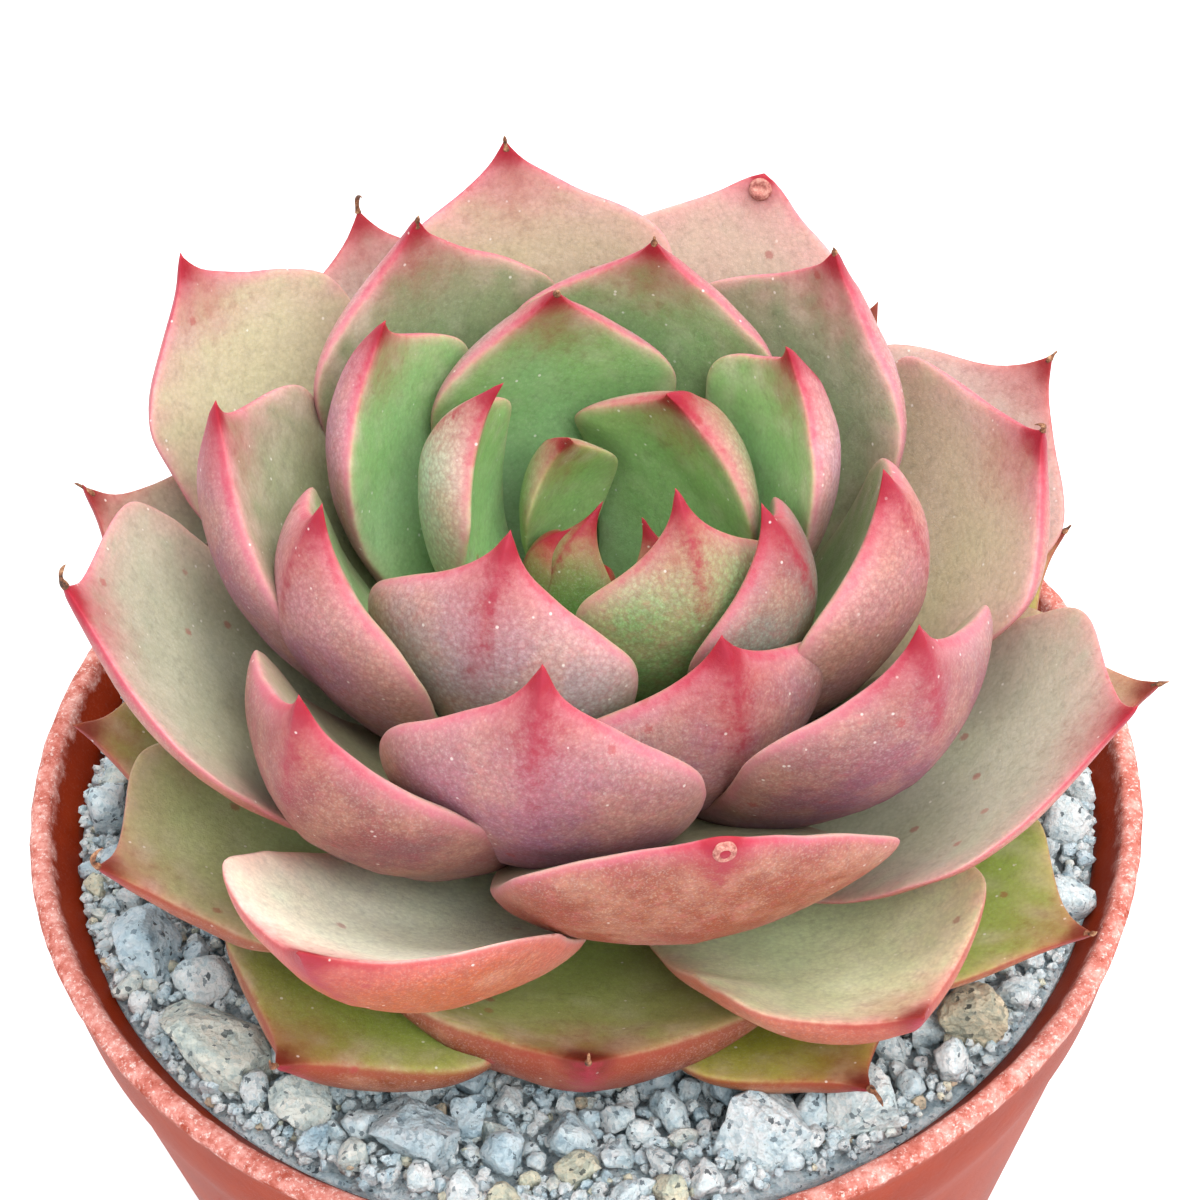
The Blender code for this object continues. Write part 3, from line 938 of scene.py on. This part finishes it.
# Upper faces near the root: partly the skin's own paler green, partly painted light. These rows are lighter than the
# middle of the face to stand in for light on the lower faces, which sit shaded deep in the rosette.
FACE_BASE_WITH_PAINTED_LIGHT = [
    (150, 192, 104),
    (154, 194, 130, 0.85, 0.85, 0.85),
    (150, 192, 138, 0.87, 0.87, 0.87),
    (150, 188, 138, 0.91, 0.91, 0.91),
    (150, 176, 120),
    (156, 176, 122),
    (172, 178, 128, 1.14, 1.09, 1.14),
    (182, 184, 136, 1.14, 1.09, 1.14),
    (170, 176, 136, 1.14, 1.09, 1.14),
    (172, 184, 152, 1.14, 1.09, 1.14),
    (158, 180, 124),
    (124, 144, 66),
    (116, 150, 52),
    (140, 146, 36),
]
BACK_UPPER = [
    (130, 148, 80),
    (170, 190, 146),
    (170, 152, 148),
    (162, 120, 144, 1.21, 1.11, 1.07),
    (166, 120, 124, 1.21, 1.11, 1.07),
    (152, 102, 122, 1.21, 1.11, 1.07),
    (140, 84, 92),
    (150, 62, 8),
    (146, 66, 12),
    (142, 66, 10),
    (140, 70, 30),
    (114, 50, 14),
    (116, 56, 10),
    (134, 72, 14),
]
BACK_LOWER = [
    (150, 180, 98, 0.62, 0.69, 0.69),
    (160, 188, 118, 0.62, 0.77, 0.77),
    (210, 212, 186, 0.72, 0.84, 0.88),
    (190, 144, 156, 0.52, 0.50, 0.82),
    (184, 134, 148, 0.52, 0.50, 0.77),
    (186, 140, 164, 0.44, 0.42, 0.75),
    (202, 152, 166, 0.38, 0.36, 0.54),
    (198, 130, 134, 0.45, 0.45, 0.51),
    (152, 96, 78),
    (150, 86, 58),
    (144, 80, 60),
    (118, 62, 34),
    (118, 68, 32),
    (172, 110, 66, 0.54, 0.46, 0.39),
]


def by_age(table, n):
    """The table's colour for leaf n, between its two nearest rows: paint times kept share."""
    rows = np.array([tone(*row[:3]) * (row[3:] or 1.0) for row in table])
    return np.array([np.interp(n, AGES, rows[:, k]) for k in range(3)])


def leaf_colours(n, body, fields):
    """The skin's colour at each vertex: upper face and back each run from base to tip, with
    slow patches, and flush pink towards the margins and the tip.  The upper face is lighter towards
    its base, partly its own paler green and partly painted light for the shaded depth of the
    rosette; the leaf's colour scale is partly its own tone and partly painted light and painted shadow."""
    draw = np.random.default_rng(800 + n)
    s, face, margin, to_tip = fields["along"], fields["face"], fields["margin"], fields["to_tip"]
    hills = soft_hills(body, 900 + n, 8.0)
    fine = soft_hills(body, 940 + n, 2.2)
    # The leaf's colour scale: partly its own tone, partly painted light on leaves that sit shaded and painted shadow on
    # leaves turned away from the light.
    own = leaf_lines(n)["tone_and_painted_light"] * (1 + draw.uniform(-0.06, 0.06))
    # Painted light: the upper face runs from the lighter rows at its base, which stand in for light in the shaded depth
    # of the rosette.
    top = blend(by_age(FACE_BASE_WITH_PAINTED_LIGHT, n), by_age(FACE_MIDDLE, n), (s - 0.30) / 0.45 + 0.22 * hills)
    flush = 0.20 + 0.50 * np.clip((n - 11) / 8, 0, 1) * np.clip((37 - n) / 8, 0.2, 1)
    near = 0.75 * np.exp(-margin / 2.6) + 0.9 * np.exp(-to_tip / 5.0)
    top = blend(top, tone(204, 150, 146), flush * near * (1 + 0.5 * fine))
    top = blend(
        top,
        tone(214, 214, 190),
        0.25 * np.clip(fine * 0.8 + hills * 0.5, 0, 1) * np.clip(s * 2 - 0.8, 0, 1),
    )
    top = blend(
        top,
        tone(206, 146, 148),
        leaf_lines(n)["rosy"] * np.clip(s * 1.6 - 0.5 + 0.3 * hills, 0, 1),
    )
    begins = 0.45 + 0.22 * min(1, max(0, (9 - n) / 4))
    under = blend(by_age(BACK_LOWER, n), by_age(BACK_UPPER, n), (s - begins) / 0.30 + 0.30 * hills)
    paler = np.exp(-np.maximum(margin - 0.5, 0) / 1.6)
    under = blend(
        under,
        tone(184, 148, 130),
        0.45 * paler * np.clip((26 - n) / 6, 0, 1) * np.clip(n / 6, 0, 1),
    )
    under = blend(
        under,
        tone(176, 92, 92),
        0.4 * paler * np.clip((n - 20) / 5, 0, 1) * np.clip((36 - n) / 8, 0.1, 1),
    )
    return np.clip(blend(under, top, 0.5 + 4.0 * face) * own, 0, 1)


def leaf_skin():
    """Waxy leaf skin.  The painted colour is mottled finely; a crimson line runs along the thin
    margin and swells into a red tip, which bleeds down the keel of the back in specks; a few dark
    freckles and white grains of dust lie on top."""
    made, nodes, links, shader = new_finish("leaf_skin")

    def own(name, wanted="Fac"):
        read = nodes.new("ShaderNodeAttribute")
        read.attribute_name = name
        return read.outputs[wanted]

    def fade(source, nothing, whole, smooth=True):
        made = nodes.new("ShaderNodeMapRange")
        made.interpolation_type = "SMOOTHSTEP" if smooth else "LINEAR"
        made.inputs["From Min"].default_value = nothing
        made.inputs["From Max"].default_value = whole
        links.new(source, made.inputs["Value"])
        return made.outputs[0]

    def times(a, b):
        return sums(nodes, links, "MULTIPLY", a, b)

    def plus(a, b):
        return sums(nodes, links, "ADD", a, b)

    def over(amount, below, colour):
        return colour_mix(nodes, links, "MIX", amount, below, colour)

    margin, to_tip, across = own("margin_mm"), own("tip_mm"), own("across")
    back, red, old = own("back"), own("redness"), own("old")
    fresh = plus(times(old, -0.8), 1.0)
    mottle = grain(nodes, links, 0.9, 7.0, 0.7)
    fine = grain(nodes, links, 0.16, 4.0, 0.6)
    patch = grain(nodes, links, 2.4, 5.0, 0.65)
    cloud = grain(nodes, links, 5.0, 4.0, 0.6)
    base = colour_mix(
        nodes,
        links,
        "MULTIPLY",
        0.8,
        own("skin_colour", "Color"),
        ramp(nodes, links, mottle, [(0.34, 0.80), (0.5, 1.0), (0.75, 1.0)]),
    )
    cream = times(fade(plus(cloud, times(mottle, 0.25)), 0.52, 0.82), times(times(back, red), 0.40))
    base = over(cream, base, paint(198, 152, 122))
    bloom = times(fade(fine, 0.50, 0.64), plus(times(back, 0.07), 0.07))
    base = over(bloom, base, paint(240, 232, 222))
    speck = times(fade(fine, 0.50, 0.38), times(times(times(back, red), fresh), 0.24))
    base = over(speck, base, paint(146, 50, 72))
    cast = times(fade(mottle, 0.50, 0.64), times(times(times(back, red), fresh), 0.22))
    base = over(cast, base, paint(176, 76, 92))
    pores = nodes.new("ShaderNodeTexVoronoi")
    place = nodes.new("ShaderNodeTexCoord")
    links.new(place.outputs["Object"], pores.inputs["Vector"])
    pores.inputs["Scale"].default_value = 2500.0
    net = fade(plus(pores.outputs["Distance"], times(fine, 0.8)), 0.66, 1.10)
    base = over(times(net, plus(times(times(back, red), 0.20), 0.02)), base, paint(128, 46, 62))
    base = over(times(net, 0.09), base, paint(60, 70, 40))
    near_tip = fade(to_tip, 15.0, 3.0)
    glow = times(
        times(fade(plus(margin, times(patch, -0.9)), 0.7, -0.8), plus(times(near_tip, 0.34), 0.14)),
        plus(times(old, -0.4), 1.0),
    )
    base = over(times(glow, red), base, over(old, paint(210, 122, 140), paint(164, 92, 62)))
    line = fade(plus(margin, times(mottle, 0.5)), 0.50, 0.16)
    ink = over(
        near_tip,
        over(old, paint(204, 104, 130), paint(140, 72, 46)),
        over(old, paint(180, 46, 76), paint(140, 52, 36)),
    )
    thin = plus(times(back, 0.30), 0.55)
    base = over(times(times(times(line, red), thin), plus(times(near_tip, 0.35), 0.65)), base, ink)
    blush = fade(
        plus(plus(to_tip, times(across, 4.0)), plus(times(mottle, 5.0), times(patch, 4.0))),
        14.5,
        5.0,
    )
    base = over(
        times(blush, plus(times(back, 0.12), 0.60)),
        base,
        over(old, paint(166, 42, 60), paint(146, 56, 36)),
    )
    tip = fade(plus(to_tip, times(patch, 2.5)), 4.6, 2.4)
    base = over(times(tip, 0.92), base, over(old, paint(152, 20, 40), paint(110, 36, 26)))
    keel = times(
        fade(plus(across, times(mottle, 0.36)), 0.32, 0.14),
        times(back, fade(plus(to_tip, times(mottle, 12.0)), 19.0, 8.0)),
    )
    base = over(times(keel, 0.80), base, paint(150, 36, 56))
    freckles = nodes.new("ShaderNodeTexVoronoi")
    links.new(place.outputs["Object"], freckles.inputs["Vector"])
    freckles.inputs["Scale"].default_value = 420.0
    chosen = nodes.new("ShaderNodeSeparateColor")
    links.new(freckles.outputs["Color"], chosen.inputs[0])
    dots = times(
        fade(plus(freckles.outputs["Distance"], times(fine, 0.2)), 0.30, 0.20),
        fade(chosen.outputs[0], 0.88, 0.92),
    )
    base = over(times(dots, 0.5), base, paint(158, 54, 58))
    dust = nodes.new("ShaderNodeTexVoronoi")
    links.new(place.outputs["Object"], dust.inputs["Vector"])
    dust.inputs["Scale"].default_value = 1900.0
    picked = nodes.new("ShaderNodeSeparateColor")
    links.new(dust.outputs["Color"], picked.inputs[0])
    grains = times(fade(dust.outputs["Distance"], 0.28, 0.14), fade(picked.outputs[1], 0.96, 0.975))
    base = over(times(grains, 0.45), base, paint(250, 244, 236))
    links.new(base, shader.inputs["Base Color"])
    links.new(plus(times(mottle, 0.25), 0.36), shader.inputs["Roughness"])
    shader.inputs["Specular IOR Level"].default_value = 0.24
    shader.inputs["Subsurface Weight"].default_value = 0.22
    shader.inputs["Subsurface Radius"].default_value = (1.0, 0.7, 0.4)
    shader.inputs["Subsurface Scale"].default_value = 0.0018
    first = bumped(nodes, links, shader, mottle, 0.10, 0.7)
    bumped(nodes, links, shader, fine, 0.03, 0.8, first)
    return made


def tagged(piece, name, values):
    """Stores one number at each vertex; the two pole vertices come last."""
    piece.data.attributes.new(name, "FLOAT", "POINT").data.foreach_set("value", values)


skin = leaf_skin()
faces = leaf_faces(ROWS - 1, COLUMNS)
for n in range(-BUD_LEAVES, 46):
    body, ends, fields = leaf_form(n)
    colours = leaf_colours(n, body, fields)
    points = np.vstack([body.reshape(-1, 3)] + ends)
    label = n + BUD_LEAVES + 1
    leaf = finished(
        f"rosette_leaf_{label:02d}",
        points,
        faces,
        skin,
        (f"leaf_{label:02d}",),
    )
    rgba = np.ones((len(points), 4))
    rgba[:-2, :3] = colours.reshape(-1, 3)
    rgba[-2, :3] = colours[0].mean(0)
    rgba[-1, :3] = colours[-1].mean(0)
    leaf.data.attributes.new("skin_colour", "FLOAT_COLOR", "POINT").data.foreach_set(
        "color",
        rgba.reshape(-1),
    )
    flat = {
        name: np.append(np.asarray(values, float).reshape(-1), [0.0, 0.0]) for name, values in fields.items()
    }
    flat["to_tip"][-2] = 30.0
    tagged(leaf, "margin_mm", flat["margin"])
    tagged(leaf, "tip_mm", flat["to_tip"])
    tagged(leaf, "across", np.abs(flat["across"]))
    tagged(leaf, "back", np.clip(-flat["face"] * 3.0, 0, 1))
    tagged(leaf, "redness", np.clip(flat["along"] * 2.2 - 0.35, 0, 1) * (0.4 if n < 3 else 1.0))
    tagged(leaf, "old", np.full(len(points), np.clip((n - 26) / 8, 0, 1)))

# ---- The dried tips and scars
# The spine at the end of an older leaf dries to a brown thread that curls over; two leaves have
# lost theirs and healed with a corky ring.  Each is a small curved horn or a turned ring.

# number -> length of the dried thread (mm), how far it curls (degrees)
THREADS = {
    7: (0.8, 20),
    12: (1.0, -15),
    15: (1.4, 10),
    17: (0.9, 15),
    20: (1.5, 15),
    22: (1.6, 110),
    26: (2.2, 70),
    28: (2.8, 100),
    30: (1.2, -20),
    31: (1.8, -40),
    34: (2.4, 130),
    35: (1.4, -20),
    37: (1.2, 100),
    40: (1.2, 30),
    42: (1.8, 60),
    43: (1.0, 20),
    45: (1.8, -80),
}


def thread_form(n, length, curl):
    """A horn: circles of shrinking radius along an arc that leaves the leaf's tip in the
    direction of its midrib and turns towards the plant's axis."""
    body, ends, _ = leaf_form(n)
    tip = ends[1][0]
    ahead = tip - body[-6].mean(0)
    ahead /= np.linalg.norm(ahead)
    across = body[-30, 0] - body[-30, COLUMNS // 2]
    across /= np.linalg.norm(across)
    inward = np.cross(ahead, across)
    t = np.linspace(0, 1, 14)[:, None]
    turn = math.radians(curl) * t**1.3
    step = (ahead * np.cos(turn) + inward * np.sin(turn)) * length / 13
    sunk = 0.35 if abs(curl) > 40 else 0.75 * length
    spine = tip - sunk * ahead + np.cumsum(step, 0) - step[0]
    outward = -ahead * np.sin(turn) + inward * np.cos(turn)
    girth = 0.24 * (1 - t) ** 0.6 * (1 + 0.25 * np.sin(9 * t + n)) + 0.02
    angle = np.linspace(0, math.tau, 10, endpoint=False)
    ring = np.cos(angle)[None, :, None] * outward[:, None] + np.sin(angle)[None, :, None] * across
    return spine[:, None] + girth[:, None] * ring, spine


def dried_skin():
    """Papery brown, nearly black in places, with tan highlights."""
    made, nodes, links, shader = new_finish("dried_tip")
    shred = grain(nodes, links, 0.5, 5.0, 0.7)
    links.new(
        ramp(
            nodes,
            links,
            shred,
            [(0.35, paint(52, 34, 26)), (0.5, paint(128, 78, 50)), (0.68, paint(196, 150, 112))],
        ),
        shader.inputs["Base Color"],
    )
    shader.inputs["Roughness"].default_value = 0.8
    bumped(nodes, links, shader, shred, 0.12)
    return made


dried = dried_skin()
thread_faces = leaf_faces(14, 10)
for n, (length, curl) in THREADS.items():
    body, spine = thread_form(n, length, curl)
    points = np.vstack([body.reshape(-1, 3), spine[:1], spine[-1:]])
    finished(f"dried_tip_{n + BUD_LEAVES + 1:02d}", points, thread_faces, dried, ())

def scar_skin():
    """Healed cork, tan with a pink cast."""
    made, nodes, links, shader = new_finish("healed_scar")
    shred = grain(nodes, links, 0.4, 5.0, 0.7)
    links.new(
        ramp(
            nodes,
            links,
            shred,
            [(0.35, paint(128, 62, 54)), (0.5, paint(178, 110, 98)), (0.65, paint(204, 150, 134))],
        ),
        shader.inputs["Base Color"],
    )
    shader.inputs["Roughness"].default_value = 0.7
    bumped(nodes, links, shader, shred, 0.10)
    return made


# The ring's outline: radius and height, for a scar 1 mm in radius
SCAR = [
    (0.02, 0.20),
    (0.25, 0.16),
    (0.42, 0.30),
    (0.60, 0.44),
    (0.78, 0.36),
    (0.92, 0.12),
    (0.98, -0.15),
    (0.6, -0.5),
    (0.02, -0.5),
]
# number -> radius, distance back from the tip (mm), which face it sits on (1 back, -1 upper)
SCARS = {24: (0.9, 1.0, 1), 25: (1.0, 1.3, -1)}
cork = scar_skin()
for n, (size, behind, side) in SCARS.items():
    body, ends, _ = leaf_form(n)
    ahead = ends[1][0] - body[-12].mean(0)
    ahead /= np.linalg.norm(ahead)
    across = body[-30, 0] - body[-30, COLUMNS // 2]
    across /= np.linalg.norm(across)
    out = side * np.cross(across, ahead)
    facing = out * 0.9 + ahead * 0.35
    facing /= np.linalg.norm(facing)
    across -= facing * np.dot(across, facing)
    across /= np.linalg.norm(across)
    disc = turned_surface(np.array(SCAR) * size, 24)
    axes = np.stack([across, np.cross(facing, across), facing])
    placed = disc @ axes + ends[1][0] - behind * ahead + (0.65 if side > 0 else 0.1) * out
    points = np.vstack([placed.reshape(-1, 3), placed[0].mean(0), placed[-1].mean(0)])
    finished(
        f"leaf_scar_{n + BUD_LEAVES + 1:02d}",
        points,
        leaf_faces(len(SCAR), 24),
        cork,
        (),
    )

# ---- The table, the light and the camera
# A plain pale table top under soft overhead light, seen from above the front at 45 degrees.

floor_mesh = bpy.data.meshes.new("table_top")
floor_mesh.from_pydata([(-12, -12, 0), (12, -12, 0), (12, 12, 0), (-12, 12, 0)], [], [(0, 1, 2, 3)])
floor_finish, nodes, links, shader = new_finish("pale_table")
shader.inputs["Base Color"].default_value = (0.9, 0.9, 0.9, 1.0)
shader.inputs["Roughness"].default_value = 0.8
floor_mesh.materials.append(floor_finish)
floor = bpy.data.objects.new("table_top", floor_mesh)
bpy.context.scene.collection.objects.link(floor)

world = bpy.data.worlds.new("studio")
world.use_nodes = True
world.node_tree.nodes["Background"].inputs["Color"].default_value = (0.92, 0.97, 1.0, 1.0)
world.node_tree.nodes["Background"].inputs["Strength"].default_value = 1.36
bpy.context.scene.world = world


def soft_light(name, place, aim, size, power, colour):
    """A square studio softbox."""
    lamp = bpy.data.lights.new(name, "AREA")
    lamp.size = size
    lamp.energy = power
    lamp.color = colour
    box = bpy.data.objects.new(name, lamp)
    box.location = place
    box.rotation_euler = (Vector(aim) - Vector(place)).to_track_quat("-Z", "Y").to_euler()
    bpy.context.scene.collection.objects.link(box)


soft_light("overhead_softbox", (0.14, 0.18, 0.75), (0, 0, 0.09), 0.4, 3.6, (1.0, 0.98, 0.95))
soft_light("front_fill", (0.26, -0.42, 0.65), (0, 0, 0.08), 0.4, 3.9, (0.97, 0.99, 1.0))

DOWN = math.radians(44.79)
TILT = math.radians(-2.22)
AIM = Vector((1.78, 0.0, 18.46 + RIM_Z)) * MM
DISTANCE = 0.19881
camera_data = bpy.data.cameras.new("camera")
camera_data.sensor_width = 36.0
camera_data.lens = 78.0
camera_data.clip_start = 0.01
camera = bpy.data.objects.new("camera", camera_data)
bpy.context.scene.collection.objects.link(camera)
ahead = Vector((0, math.cos(DOWN), -math.sin(DOWN)))
level = Vector((1, 0, 0))
above = level.cross(ahead)
right = math.cos(TILT) * level + math.sin(TILT) * above
top = -math.sin(TILT) * level + math.cos(TILT) * above
spot = AIM - ahead * DISTANCE
camera.matrix_world = Matrix(
    (
        (right.x, top.x, -ahead.x, spot.x),
        (right.y, top.y, -ahead.y, spot.y),
        (right.z, top.z, -ahead.z, spot.z),
        (0, 0, 0, 1),
    )
)
bpy.context.scene.camera = camera
bpy.context.scene.view_settings.view_transform = "Standard"
